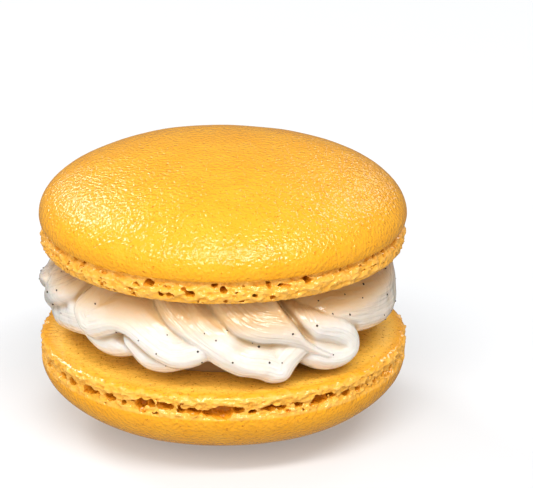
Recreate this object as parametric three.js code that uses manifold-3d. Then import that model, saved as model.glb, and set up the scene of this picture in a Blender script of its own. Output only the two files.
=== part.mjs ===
// A French macaron: two domed almond shells, each with its frilled foot, and a swirl of piped
// vanilla cream between them. Millimetres, +Z up. The origin is the middle of the small flat
// spot that the lower shell rests on, and the front faces -Y.
import * as THREE from "three";
import { mergeVertices } from "three/addons/utils/BufferGeometryUtils.js";
import Module from "manifold-3d";

const wasm = await Module();
wasm.setup();

// Driving dimensions of the whole
const shellRadius = 22.5;
const overallHeight = 34.6;
const creamGap = 11.4; // between the flat faces of the two shells
const lowerFaceHeight = 11.4;
const upperFaceHeight = lowerFaceHeight + creamGap;
const creamClearance = 0.3; // between the cream and each shell

// The shells differ a little, as baked ones do
const upperShell = {
  height: overallHeight - upperFaceHeight,
  domeRadius: shellRadius,
  domeHeight: 8.0, // from the widest level to the crown
  domePower: 2.08, // 2 is an ellipse, more is squarer
  crownCut: 0, // how much of the crown is pressed flat
  footRadius: 22.35,
  footHeight: 2.65,
  faceRadius: 21.7, // where the flat face starts to turn into the foot
  grooveDepth: 0.75, // of the line between foot and dome
  frill: 0.42, // height of the foot's crags
  seed: 11,
};
const lowerShell = {
  height: lowerFaceHeight,
  domeRadius: shellRadius,
  domeHeight: 9.1,
  domePower: 2.03,
  crownCut: 0.35,
  footRadius: 22.6,
  footHeight: 1.95,
  faceRadius: 21.5,
  grooveDepth: 0.85,
  frill: 0.3,
  seed: 29,
};

// Open pores along the groove: where round the shell in degrees from the front, positive to the
// right, then width, height and level over the flat face, in millimetres
const upperPores = [
  [-52.5, 1.2, 0.6, 2.55],
  [-47.5, 0.7, 0.5, 2.3],
  [-22.6, 1.25, 1.0, 2.2],
  [-18.5, 0.8, 0.75, 1.05],
  [-9.3, 1.35, 0.75, 1.35],
  [-1.2, 1.0, 0.5, 2.45],
  [0.8, 1.05, 0.9, 1.95],
  [10.2, 0.9, 0.6, 1.2],
  [14.9, 0.85, 0.7, 2.3],
  [27.6, 0.95, 0.85, 2.2],
  [39.5, 0.75, 0.55, 2.6],
  [57.0, 1.1, 0.65, 2.5],
  [66.0, 0.8, 0.6, 2.4],
];
const lowerPores = [
  [-60.5, 1.1, 0.7, 2.0],
  [-54.5, 1.3, 0.8, 2.05],
  [-45.5, 1.9, 0.8, 2.0],
  [-36.8, 1.8, 0.7, 2.05],
  [-25.4, 1.3, 1.1, 1.85],
  [-17.6, 2.1, 0.8, 1.7],
  [-9.4, 1.1, 0.55, 2.15],
  [-0.4, 3.1, 1.35, 1.95],
  [14.8, 1.6, 0.75, 1.85],
  [20.6, 0.9, 0.5, 2.0],
  [32.2, 2.3, 0.75, 2.0],
  [41.5, 0.9, 0.7, 1.8],
  [52.5, 1.1, 0.7, 2.0],
  [63.5, 1.5, 0.7, 1.95],
];
const pore = {
  depth: 1.6,
  inset: 0.2, // of its centre from the foot's full radius
  facet: 0.9, // mean radius of an icosahedron over the radius of its corners
};

// More pores round the back: how many over which arc, and between which sizes they are drawn
const hiddenPores = {
  count: 13,
  arc: [84, 276], // degrees from the front
  width: [0.8, 2.1],
  height: [0.5, 0.9],
  level: [0.55, 1.0], // shares of the foot's height
};

// The foot's shape, shared by both shells
const foot = {
  rows: 6,
  sides: 120,
  lip: 0.1, // rounding between the flat face and the foot
  fullest: [0.16, 0.8], // start and power of the swell: the foot is widest low down
  edgeCrag: 0.35, // share of the crags left where the foot meets the face and the dome
  lumpCells: 40, // coarse lumps round the shell
  lumpRows: 4,
  lumpShare: 0.6, // coarse lumps and fine grain as shares of the frill
  grainShare: 0.7,
  grainLift: 0.14, // how far the crags wander up and down
  grooveWidth: 0.6,
};

// How finely the dome and the flat face are cut, in sides round the circle
const domeSides = [96, 84, 66, 54, 42, 30, 18];
const undersideSteps = [0.35, 0.75]; // shares of the roll from the groove to the widest level
const faceRings = [
  { share: 0.5, sides: 16 },
  { share: 0.86, sides: 48 },
  { share: 0.97, sides: 96 },
];

// The cream: a solid core and ropes of piped cream folded over its edge. Each rope comes out from
// under the top shell and runs down to the lower one while it turns to the right. A line gives
// places on its outer skin: degrees from the front, radius and height over the lower shell.
const core = { topRadius: 16.6, waistRadius: 17.0, footRadius: 15.6, sides: 36 };
const ropeSteps = 12;
const ropeSides = 14;
const ropeBlunt = 2.6; // how blunt a rope's ends are, 2 is an ellipsoid
const foldLine = [
  [-23, 19.4, 12.0],
  [-12, 21.0, 9.2],
  [-2, 21.4, 6.6],
  [8, 21.3, 4.2],
  [18, 20.6, 2.0],
];
const ropesShown = [
  { wide: 8, thick: 6, line: [[-122, 20.2, 11.5], [-108, 22.6, 8.8], [-97, 23, 7.2], [-87, 21.8, 5.6]] },
  { wide: 7, thick: 6, line: [[-95, 20.8, 11.0], [-86, 22.6, 7.6], [-75, 22.2, 5.0], [-60, 20.6, 3.4]] },
  { wide: 4.8, thick: 5, line: [[-72, 20.6, 3.4], [-58, 20.0, 2.8], [-46, 19.4, 2.7], [-32, 18.6, 2.9]] },
  { wide: 7.2, thick: 6, line: [[-49, 19.8, 12.6], [-48, 21.3, 9.8], [-46, 21.4, 7.2], [-41, 20.6, 5.4]] },
  { wide: 6.6, thick: 6, line: [[-43, 20.6, 9.6], [-31, 20.9, 8.0], [-20, 20.7, 5.6], [-6, 19.6, 4.2]] },
  { wide: 4.8, thick: 5, line: [[-42, 19.4, 4.8], [-31, 19.7, 3.4], [-20, 19.5, 2.4], [-8, 18.8, 2.8]] },
  { wide: 7.8, thick: 6.2, line: foldLine },
  { wide: 5, thick: 5, line: [[-6, 19.0, 11.4], [2, 21.0, 8.8], [14, 20.6, 6.6], [24, 20.2, 3.4]] },
  {
    wide: 6.8,
    thick: 6,
    line: [[0, 19.6, 12.2], [11, 21.0, 9.2], [21, 21.4, 6.4], [32, 21.2, 4.2], [41, 20.2, 2.8]],
  },
  { wide: 6.8, thick: 5.8, line: [[26, 19.2, 11.6], [36, 20.6, 8.8], [43, 21.0, 6.0], [48, 20.4, 3.2]] },
  { wide: 4.4, thick: 4.8, line: [[22, 19.2, 3.2], [31, 20.0, 2.4], [40, 20.2, 2.2], [48, 19.8, 3.2]] },
  { wide: 9.4, thick: 6.4, line: [[44, 19.2, 9.4], [58, 21.0, 8.4], [74, 21.4, 7.6], [90, 20.8, 7.2]] },
];

// The front fold repeated round the back, each a little different
const ropesHidden = {
  count: 7,
  middles: [96, 246], // the first and the last, degrees from the front
  wide: [7.4, 9.4],
  thick: 6.2,
  stretch: [0.88, 1.12],
  reach: [-0.2, 0.3],
  seed: 5,
};

const degrees = Math.PI / 180;

// Repeatable draws between two bounds
function drawsFrom(seed) {
  const factor = 16807;
  const modulus = 2 ** 31 - 1;
  let state = factor * (seed + 1);
  return ([low, high]) => {
    state = (state * factor) % modulus;
    return low + ((high - low) * state) / modulus;
  };
}

// A place round the vertical axis: the angle is in degrees from the front, positive to the right
function around(angle, radius, height) {
  const turn = angle * degrees;
  return new THREE.Vector3(radius * Math.sin(turn), -radius * Math.cos(turn), height);
}

// Smooth bumps from -1 to 1 over a lattice of random heights that closes round the circle
function makeBumps(seed, cells, rows) {
  const draw = drawsFrom(seed);
  const lattice = Array.from({ length: rows + 2 }, () =>
    Array.from({ length: cells }, () => draw([-1, 1])),
  );
  const ease = (t) => t * t * (3 - 2 * t);
  return (turn, rise) => {
    const u = (((turn % 1) + 1) % 1) * cells;
    const v = THREE.MathUtils.clamp(rise, 0, 1) * rows;
    const column = Math.floor(u);
    const row = Math.floor(v);
    const at = (r, c) => lattice[r][c % cells];
    const across = ease(u - column);
    const low = THREE.MathUtils.lerp(at(row, column), at(row, column + 1), across);
    const high = THREE.MathUtils.lerp(at(row + 1, column), at(row + 1, column + 1), across);
    return THREE.MathUtils.lerp(low, high, ease(v - row));
  };
}

// Zips two neighbouring rings into triangles by walking round both at once, whatever their counts
function zipRings(index, lower, upper) {
  const lowerSteps = lower.count > 1 ? lower.count : 0;
  const upperSteps = upper.count > 1 ? upper.count : 0;
  let i = 0;
  let j = 0;
  while (i < lowerSteps || j < upperSteps) {
    const a = lower.first + (i % lower.count);
    const b = upper.first + (j % upper.count);
    const stepLower =
      j >= upperSteps || (i < lowerSteps && (i + 1) / lowerSteps <= (j + 1) / upperSteps);
    if (stepLower) {
      i += 1;
      index.push(a, lower.first + (i % lower.count), b);
    } else {
      j += 1;
      index.push(a, upper.first + (j % upper.count), b);
    }
  }
}

// One closed surface over a stack of rings. The first and last ring are single points.
function stackOfRings(rings) {
  const positions = [];
  const spans = rings.map((ring) => {
    const span = { first: positions.length / 3, count: ring.length };
    ring.forEach((p) => positions.push(p.x, p.y, p.z));
    return span;
  });
  const index = [];
  for (let k = 1; k < spans.length; k += 1) zipRings(index, spans[k - 1], spans[k]);
  const geometry = new THREE.BufferGeometry();
  geometry.setAttribute("position", new THREE.Float32BufferAttribute(positions, 3));
  geometry.setIndex(index);
  return geometry;
}

function toSolid(geometry) {
  const bare = geometry.clone();
  bare.deleteAttribute("normal");
  bare.deleteAttribute("uv");
  const merged = mergeVertices(bare);
  return new wasm.Manifold(
    new wasm.Mesh({
      numProp: 3,
      vertProperties: new Float32Array(merged.attributes.position.array),
      triVerts: new Uint32Array(merged.index.array),
    }),
  );
}

// The outermost skin of a solid, without any pocket shut inside it
function outerSkin(solid) {
  return solid.decompose().reduce((best, piece) => (piece.volume() > best.volume() ? piece : best));
}

function toGeometry(solid) {
  const mesh = solid.getMesh();
  const positions = [];
  for (let i = 0; i < mesh.vertProperties.length; i += mesh.numProp) {
    positions.push(...mesh.vertProperties.subarray(i, i + 3));
  }
  const geometry = new THREE.BufferGeometry();
  geometry.setAttribute("position", new THREE.Float32BufferAttribute(positions, 3));
  geometry.setIndex(new THREE.BufferAttribute(new Uint32Array(mesh.triVerts), 1));
  geometry.computeVertexNormals();
  return geometry;
}

// A shell's rings from the middle of its flat face, out round the foot and up to the crown.
// Each has a radius, a height over the flat face, its sides and its share of the foot's crags.
function shellOutline(shell) {
  const widest = shell.height + shell.crownCut - shell.domeHeight;
  const grooveRadius = shell.domeRadius - shell.grooveDepth;
  const quarter = Math.PI / 2;
  const rows = faceRings.map(({ share, sides }) => ({
    radius: shell.faceRadius * share,
    height: 0,
    sides,
    crag: 0,
  }));
  const [swellStart, swellPower] = foot.fullest;
  for (let k = 0; k < foot.rows; k += 1) {
    const t = k / (foot.rows - 1);
    const swell = Math.sin(Math.PI * THREE.MathUtils.lerp(swellStart, 1, t ** swellPower));
    const edge = THREE.MathUtils.lerp(shell.faceRadius, grooveRadius, t);
    rows.push({
      radius: THREE.MathUtils.lerp(edge, shell.footRadius, swell),
      height: THREE.MathUtils.lerp(foot.lip, shell.footHeight, t),
      sides: foot.sides,
      crag: THREE.MathUtils.lerp(foot.edgeCrag, 1, Math.sin(Math.PI * t)),
    });
  }
  // The dome's underside rolls out from the groove to the widest level
  undersideSteps.forEach((t) => {
    rows.push({
      radius: grooveRadius + shell.grooveDepth * Math.sin(t * quarter),
      height: THREE.MathUtils.lerp(widest, shell.footHeight, Math.cos(t * quarter)),
      sides: foot.sides,
      crag: foot.edgeCrag * (1 - t),
    });
  });
  const power = 2 / shell.domePower;
  domeSides.forEach((sides, k) => {
    const angle = (k / domeSides.length) * quarter;
    rows.push({
      radius: shell.domeRadius * Math.cos(angle) ** power,
      height: Math.min(shell.height, widest + shell.domeHeight * Math.sin(angle) ** power),
      sides,
      crag: 0,
    });
  });
  return rows;
}

// Ellipsoids that open the pores along the groove, at the places shown and by a rule behind.
// side is 1 for a shell that stands upright and -1 for one that will be turned over.
function poreCutters(shell, pores, side) {
  const draw = drawsFrom(shell.seed + 3);
  const [from, to] = hiddenPores.arc;
  const hidden = Array.from({ length: hiddenPores.count }, (_, k) => [
    THREE.MathUtils.lerp(from, to, (k + draw([0, 1])) / hiddenPores.count),
    draw(hiddenPores.width),
    draw(hiddenPores.height),
    shell.footHeight * draw(hiddenPores.level),
  ]);
  return [...pores, ...hidden].map(([angle, width, height, level]) => {
    const cutter = new THREE.IcosahedronGeometry(0.5 / pore.facet, 0);
    cutter.scale(width, 2 * pore.depth, height);
    cutter.rotateZ(side * angle * degrees);
    const place = around(side * angle, shell.footRadius - pore.inset, level);
    cutter.translate(place.x, place.y, place.z);
    return toSolid(cutter);
  });
}

// A shell with its flat face down at height 0 and its crown up
function makeShell(shell, pores, side) {
  const lumps = makeBumps(shell.seed, foot.lumpCells, foot.lumpRows);
  const grain = makeBumps(shell.seed + 1, foot.sides, foot.rows + undersideSteps.length);
  const rings = shellOutline(shell).map(({ radius, height, sides, crag }) =>
    Array.from({ length: sides }, (_, i) => {
      const turn = i / sides;
      const rise = height / (shell.footHeight + foot.grooveWidth);
      const coarse = foot.lumpShare * lumps(turn, rise);
      const fine = foot.grainShare * grain(turn, rise);
      const lift = foot.grainLift * crag * grain(turn + 0.5, 1 - rise);
      return around(360 * turn, radius + shell.frill * crag * (coarse + fine), height + lift);
    }),
  );
  const faceCentre = [new THREE.Vector3(0, 0, 0)];
  const crown = [new THREE.Vector3(0, 0, shell.height)];
  const body = toSolid(stackOfRings([faceCentre, ...rings, crown]));
  return poreCutters(shell, pores, side).reduce((solid, cutter) => solid.subtract(cutter), body);
}

// A rope of cream along its line: an oval section, full in the middle and round at both ends
function makeRope({ line, wide, thick }) {
  const skin = line.map(([angle, radius, height]) =>
    around(angle, radius - thick / 2, lowerFaceHeight + height),
  );
  const curve = new THREE.CatmullRomCurve3(skin, false, "centripetal");
  const rings = [];
  for (let k = 0; k <= ropeSteps; k += 1) {
    // Steps are closer together at the ends, where the section shrinks
    const t = (1 - Math.cos((Math.PI * k) / ropeSteps)) / 2;
    const centre = curve.getPointAt(t);
    if (k === 0 || k === ropeSteps) {
      rings.push([centre]);
      continue;
    }
    const along = curve.getTangentAt(t);
    const outward = centre.clone().setZ(0).projectOnPlane(along).normalize();
    const across = outward.clone().cross(along);
    const girth = Math.sqrt(1 - Math.abs(2 * t - 1) ** ropeBlunt);
    rings.push(
      Array.from({ length: ropeSides }, (_, i) => {
        const turn = (i / ropeSides) * 2 * Math.PI;
        return centre
          .clone()
          .addScaledVector(across, (wide / 2) * girth * Math.cos(turn))
          .addScaledVector(outward, (thick / 2) * girth * Math.sin(turn));
      }),
    );
  }
  return toSolid(stackOfRings(rings));
}

function makeCore() {
  const base = lowerFaceHeight;
  const middle = base + creamGap / 2;
  const outline = [
    [0, base],
    [core.footRadius, base],
    [core.waistRadius, middle],
    [core.topRadius, base + creamGap],
    [0, base + creamGap],
  ].map(([radius, height]) => new THREE.Vector2(radius, height));
  return toSolid(new THREE.LatheGeometry(outline, core.sides).rotateX(Math.PI / 2));
}

function makeCream() {
  const draw = drawsFrom(ropesHidden.seed);
  const [from, to] = ropesHidden.middles;
  const hidden = Array.from({ length: ropesHidden.count }, (_, k) => {
    const middle = THREE.MathUtils.lerp(from, to, k / (ropesHidden.count - 1));
    const stretch = draw(ropesHidden.stretch);
    const reach = draw(ropesHidden.reach);
    return {
      wide: draw(ropesHidden.wide),
      thick: ropesHidden.thick,
      line: foldLine.map(([angle, radius, height]) => [middle + angle * stretch, radius + reach, height]),
    };
  });
  const ropes = [...ropesShown, ...hidden].map(makeRope);
  const swirl = ropes.reduce((solid, rope) => solid.add(rope), makeCore());
  const span = 3 * shellRadius;
  const slab = new THREE.BoxGeometry(span, span, creamGap - 2 * creamClearance);
  slab.translate(0, 0, lowerFaceHeight + creamGap / 2);
  return outerSkin(swirl.intersect(toSolid(slab)));
}

const crust = { color: new THREE.Color(0.96, 0.7, 0.2), roughness: 0.45, metalness: 0 };
const cream = { color: new THREE.Color(0.97, 0.93, 0.86), roughness: 0.35, metalness: 0 };

function named(name, solid, surface) {
  const mesh = new THREE.Mesh(toGeometry(solid), new THREE.MeshStandardMaterial(surface));
  mesh.name = name;
  return mesh;
}

const macaron = new THREE.Group();

const upper = new THREE.Group();
upper.position.z = upperFaceHeight;
upper.add(named("top_shell", makeShell(upperShell, upperPores, 1), crust));
macaron.add(upper);

macaron.add(named("cream", makeCream(), cream));

// The lower shell is the same form turned over, with its flat face up
const lower = new THREE.Group();
lower.position.z = lowerFaceHeight;
lower.rotation.y = Math.PI;
lower.add(named("bottom_shell", makeShell(lowerShell, lowerPores, -1), crust));
macaron.add(lower);

export default macaron;
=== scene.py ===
# A French macaron: two golden almond shells with frilled feet and a swirl of vanilla cream between
import math
import random

import bpy
import numpy as np
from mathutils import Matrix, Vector, noise
from mathutils.bvhtree import BVHTree


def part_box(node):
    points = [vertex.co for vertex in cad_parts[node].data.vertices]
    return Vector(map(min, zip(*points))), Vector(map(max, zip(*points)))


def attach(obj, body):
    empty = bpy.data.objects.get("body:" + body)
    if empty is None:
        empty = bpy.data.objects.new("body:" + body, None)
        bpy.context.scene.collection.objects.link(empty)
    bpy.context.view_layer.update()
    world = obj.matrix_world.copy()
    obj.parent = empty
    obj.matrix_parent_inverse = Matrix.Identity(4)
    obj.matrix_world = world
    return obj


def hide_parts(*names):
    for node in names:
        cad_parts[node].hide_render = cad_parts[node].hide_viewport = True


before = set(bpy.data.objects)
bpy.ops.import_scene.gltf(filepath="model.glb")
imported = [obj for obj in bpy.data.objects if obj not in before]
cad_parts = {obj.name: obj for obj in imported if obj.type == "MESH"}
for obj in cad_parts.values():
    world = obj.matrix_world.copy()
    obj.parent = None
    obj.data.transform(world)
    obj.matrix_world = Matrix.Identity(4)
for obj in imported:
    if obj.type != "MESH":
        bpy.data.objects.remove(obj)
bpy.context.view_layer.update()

mm = 0.001


def clearSelection():
    bpy.ops.object.select_all(action="DESELECT")


def makeActive(piece):
    clearSelection()
    piece.select_set(True)
    bpy.context.view_layer.objects.active = piece


def applyModifier(piece, modifier):
    makeActive(piece)
    bpy.ops.object.modifier_apply(modifier=modifier.name)


def around(angle, radius, height):
    turn = math.radians(angle)
    return Vector((radius * math.sin(turn), -radius * math.cos(turn), height))


def curveThrough(points, steps):
    # A smooth curve through the points, with its samples evenly spaced along it
    spanSteps = 24
    points = [Vector(p) for p in points]
    ends = [2 * points[0] - points[1]] + points + [2 * points[-1] - points[-2]]
    dense = []
    for k in range(1, len(ends) - 2):
        a, b, c, d = ends[k - 1:k + 3]
        for i in range(spanSteps):
            t = i / spanSteps
            dense.append(0.5 * (2 * b + (c - a) * t + (2 * a - 5 * b + 4 * c - d) * t * t
                                + (3 * b - a - 3 * c + d) * t ** 3))
    dense.append(points[-1])
    runs = [0]
    for a, b in zip(dense, dense[1:]):
        runs.append(runs[-1] + (b - a).length)
    samples = []
    k = 0
    for i in range(steps + 1):
        goal = runs[-1] * i / steps
        while k < len(dense) - 2 and runs[k + 1] < goal:
            k += 1
        share = (goal - runs[k]) / max(runs[k + 1] - runs[k], 1e-9)
        samples.append(dense[k].lerp(dense[k + 1], min(1, share)))
    return samples


def readPoints(piece):
    places = np.empty(len(piece.data.vertices) * 3, dtype=np.float32)
    piece.data.vertices.foreach_get("co", places)
    return places.reshape(-1, 3)


def writeAttribute(piece, name, values):
    layer = piece.data.attributes.new(name, "FLOAT", "POINT")
    layer.data.foreach_set("value", np.asarray(values, dtype=np.float32))


def ramp(values, low, high):
    share = np.clip((values - low) / (high - low), 0, 1)
    return share * share * (3 - 2 * share)


# The shells

# What both shells share
shellForm = {
    "sides": 660,
    "footStep": 0.11,  # mm between rows on the foot
    "faceStep": 0.3,
    "domeRows": 34,
    "crestPoints": 6,  # how many of a foot's points make its bulge
    "groovePoint": 7,  # which of them lies in the groove over it, counted from 0
    "measureSteps": 200,  # samples that the foot's length is measured with
    "faceDetailFrom": 15.5,  # mm from the axis, where the cream stops hiding the flat face
    "innerRings": (0.5, 0.85),  # shares of that radius where the hidden face has its rings
    "faceReliefFrom": (12, 15),
    "faceFade": 0.5,  # mm of height over which the face's finish ends
    "domeFade": (0.3, 1.5),  # mm over the groove and over the widest level, where the dome's form sets in
    "lump": 0.75,  # mm, height of the foot's soft lumps
    "lumpSize": 1.0,
    "lumpMiddle": 0.55,  # the texture's value that stays where it is, over 0.5 sinks more than it raises
    "strand": 0.22,  # the torn crests on them
    "strandSize": 0.8,
    "strandGain": 0.5,
    "octaves": 2,
    "grit": 0.12,
    "gritSize": 0.28,
    "layering": 0.55,  # how flat the crumb lies, 1 is round
    "facePits": 0.17,
    "facePitSize": 0.6,
    "wobble": 0.35,  # mm, how far the dome strays from round
    "wobbleSize": 14,
    "ragged": 0.3,  # mm, how far the torn band's edges wander
    "raggedScale": (0.8, 2.7),  # turns of the wander per mm, and how much finer its second part is
    "raggedFine": 0.5,
    "raggedAbove": 0.6,  # share of the wander that the upper edge takes
    "lowFade": 0.3,  # mm over which the band's edges fade
    "highFade": (0.2, 0.15),
    "tornFrom": (20.9, 21.5),  # mm from the axis
    "lowDomeShade": 3.2,  # mm over the torn band that the painted shade low on the dome reaches
    "pale": (20.3, 22.2),  # mm from the axis, where the flat face goes from its painted light, which lifts the shade near the cream, to golden at the lip
}
# Each outline is drawn upright with the flat face at level 0: points are (radius, level) in mm
topForm = {
    "name": "TopShell",
    "node": "top_shell",
    "height": 11.8,
    "foot": [(21.2, 0.0), (21.75, 0.1), (22.12, 0.4), (22.3, 0.9), (22.3, 1.5), (22.1, 2.05),
             (21.8, 2.4), (21.7, 2.6), (21.85, 2.78), (22.2, 2.95), (22.4, 3.3), (22.5, 3.8)],
    "band": (0.35, 2.95),  # mm, the levels between which the crumb is torn
    "domePower": 2.08,
    "crownCut": 0,
    "turnedOver": False,
    "holes": 150,
    "holeLevels": (0.5, 2.6),
    "seed": 4,
}
bottomForm = {
    "name": "BottomShell",
    "node": "bottom_shell",
    "height": 11.4,
    "foot": [(21.3, 0.0), (21.95, 0.07), (22.4, 0.28), (22.6, 0.65), (22.58, 1.0), (22.48, 1.3),
             (22.36, 1.6), (22.3, 1.85), (22.34, 2.1), (22.42, 2.3), (22.48, 2.5), (22.5, 2.75)],
    "band": (0.3, 2.95),
    "domePower": 2.03,
    "crownCut": 0.35,
    "turnedOver": True,
    "holes": 110,
    "holeLevels": (0.7, 2.8),
    "seed": 9,
}
# Open pores that show: degrees from the front, positive to the right, then width, height and level
topPores = [
    (-53.5, 1.2, 0.6, 2.5), (-48.5, 0.7, 0.5, 2.3), (-22.6, 1.25, 0.95, 2.2), (-18.5, 0.8, 0.7, 1.1),
    (-9.3, 1.25, 0.75, 1.4), (-1.8, 0.9, 0.5, 2.4), (0.8, 1.05, 0.85, 1.95), (10.2, 0.8, 0.5, 1.2),
    (15.1, 0.8, 0.6, 2.45), (18.7, 0.9, 0.5, 2.0), (27.9, 0.95, 0.8, 2.1), (40.5, 0.7, 0.5, 2.4),
    (62, 1.0, 0.6, 2.4), (70, 0.7, 0.55, 2.3),
]
bottomPores = [
    (-59.7, 1.2, 0.8, 1.95), (-54.6, 1.1, 1.0, 1.9), (-45.7, 2.0, 1.2, 1.9), (-41.5, 0.9, 0.8, 1.9),
    (-36.6, 1.9, 1.05, 1.9), (-31.5, 0.8, 0.7, 2.1), (-25.5, 1.6, 1.5, 1.8), (-21.8, 1.4, 1.1, 1.5),
    (-17.4, 2.3, 1.1, 1.6), (-12.5, 1.0, 0.7, 2.0), (-8.6, 2.1, 0.8, 2.0), (-4.4, 1.2, 0.9, 2.2),
    (0, 3.1, 1.8, 2.0), (5.2, 1.8, 1.0, 1.8), (9.5, 1.0, 0.6, 2.1), (14.8, 2.2, 0.9, 1.8),
    (18.6, 1.3, 0.7, 1.9), (24.3, 1.1, 0.6, 1.9), (31.6, 2.6, 1.2, 1.8), (36.5, 1.2, 0.7, 1.7),
    (42, 1.4, 0.9, 1.85), (47, 1.0, 0.9, 1.95), (55.5, 1.1, 0.7, 1.95), (61, 1.2, 0.6, 1.9),
    (66.2, 1.3, 0.9, 1.95),
]
poreForm = {
    "depth": 1.6,
    "inset": 0.25,  # mm, how far the pores' middles lie inside the foot
    "roughness": 0.75,
    "roughSize": 0.55,
    "cell": 0.125,  # mm, how fine the skin of the cavities is
    "hiddenFrom": 72,  # degrees from the front, beyond which the pores are drawn by lot
    "hiddenEvery": 8,
    "hiddenSpacing": (0.6, 1.4),
    "hiddenWidth": (0.7, 2.2),
    "hiddenHeight": (0.5, 0.9),
    "hiddenDrop": 0.4,
    "bubble": (0.22, 0.55),  # mm, width of the small bubbles all round
    "bubbleStretch": 1.6,
    "bubbleHeight": 0.8,
    "bubbleDepth": 0.6,
}


def shellOutline(form):
    points = [(r, z, 0) for r, z in form["foot"]]
    measured = curveThrough(points, shellForm["measureSteps"])
    length = sum((b - a).length for a, b in zip(measured, measured[1:]))
    foot = curveThrough(points, round(length / shellForm["footStep"]))
    faceEnd = form["foot"][0][0]
    hidden = shellForm["faceDetailFrom"]
    outline = [(0, 0)] + [(hidden * share, 0) for share in shellForm["innerRings"]]
    rows = round((faceEnd - hidden) / shellForm["faceStep"])
    outline += [(hidden + (faceEnd - hidden) * k / rows, 0) for k in range(rows)]
    outline += [(p.x, p.y) for p in foot]
    widestRadius, widest = form["foot"][-1]
    domeHeight = form["height"] + form["crownCut"] - widest
    power = 2 / form["domePower"]
    for k in range(1, shellForm["domeRows"]):
        angle = k / shellForm["domeRows"] * math.pi / 2
        level = widest + domeHeight * math.sin(angle) ** power
        outline.append((widestRadius * math.cos(angle) ** power, min(form["height"], level)))
    outline.append((0, form["height"]))
    return outline


def spinOutline(name, outline, sides):
    # One corner walks along the outline, then the line is turned round the axis
    weld = 0.002 * mm
    clearSelection()
    bpy.ops.mesh.primitive_plane_add(size=mm, location=(0, 0, outline[0][1] * mm))
    bpy.ops.object.transform_apply(location=True, rotation=True, scale=True)
    piece = bpy.context.object
    piece.name = piece.data.name = name
    bpy.ops.object.mode_set(mode="EDIT")
    bpy.ops.mesh.merge(type="CENTER")
    for (r0, z0), (r1, z1) in zip(outline, outline[1:]):
        step = ((r1 - r0) * mm, 0, (z1 - z0) * mm)
        bpy.ops.mesh.extrude_region_move(TRANSFORM_OT_translate={"value": step})
    bpy.ops.object.mode_set(mode="OBJECT")
    lathe = piece.modifiers.new("lathe", "SCREW")
    lathe.steps = lathe.render_steps = sides
    lathe.use_merge_vertices = True
    lathe.merge_threshold = weld
    applyModifier(piece, lathe)
    bpy.ops.object.mode_set(mode="EDIT")
    bpy.ops.mesh.select_all(action="SELECT")
    bpy.ops.mesh.remove_doubles(threshold=weld)
    bpy.ops.mesh.normals_make_consistent(inside=False)
    bpy.ops.object.mode_set(mode="OBJECT")
    return piece


def countTriangles(piece):
    return sum(len(face.vertices) - 2 for face in piece.data.polygons)


def weigh(piece, name, weights):
    group = piece.vertex_groups.new(name=name)
    levels = 20
    for level in range(1, levels + 1):
        chosen = np.nonzero(np.round(weights * levels) == level)[0]
        if len(chosen):
            group.add(chosen.tolist(), level / levels, "REPLACE")
    return group


def roughen(piece, group, kind, size, strength, middle=0.5, flat=1, **settings):
    texture = bpy.data.textures.new(f"{piece.name} {group}", kind)
    texture.noise_scale = size * mm
    for key, value in settings.items():
        setattr(texture, key, value)
    clearSelection()
    bpy.ops.object.empty_add(location=(0, 0, 0))
    guide = bpy.context.object
    guide.scale = (1, 1, flat)
    modifier = piece.modifiers.new(group, "DISPLACE")
    modifier.texture = texture
    modifier.texture_coords = "OBJECT"
    modifier.texture_coords_object = guide
    modifier.vertex_group = group
    modifier.mid_level = middle
    modifier.strength = strength * mm
    applyModifier(piece, modifier)
    bpy.data.objects.remove(guide, do_unlink=True)


def tornShare(places, form):
    # How much of each point lies in the torn band, whose edges wander as they go round
    radius = np.hypot(places[:, 0], places[:, 1])
    level = places[:, 2]
    broad, fine = shellForm["raggedScale"]
    spots = [Vector((x * broad, y * broad, form["seed"])) for x, y in places[:, :2]]
    wander = np.array([noise.noise(spot) + shellForm["raggedFine"] * noise.noise(spot * fine)
                       for spot in spots])
    wander *= shellForm["ragged"]
    low, high = form["band"]
    before, after = shellForm["highFade"]
    lowEdge = ramp(level + wander, low - shellForm["lowFade"], low + shellForm["lowFade"])
    highEdge = ramp(level - wander * shellForm["raggedAbove"], high - before, high + after)
    return lowEdge * (1 - highEdge) * ramp(radius, *shellForm["tornFrom"])


def faceShare(level, form):
    return 1 - ramp(level, form["band"][0], form["band"][0] + shellForm["faceFade"])


def shellWeights(piece, form):
    places = readPoints(piece) / mm
    radius = np.hypot(places[:, 0], places[:, 1])
    level = places[:, 2]
    widest = form["foot"][-1][1]
    groove = form["foot"][shellForm["groovePoint"]][1]
    weigh(piece, "foot", tornShare(places, form))
    weigh(piece, "face", ramp(radius, *shellForm["faceReliefFrom"]) * faceShare(level, form))
    overGroove, overWidest = shellForm["domeFade"]
    weigh(piece, "dome", ramp(level, groove + overGroove, widest + overWidest))


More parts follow.
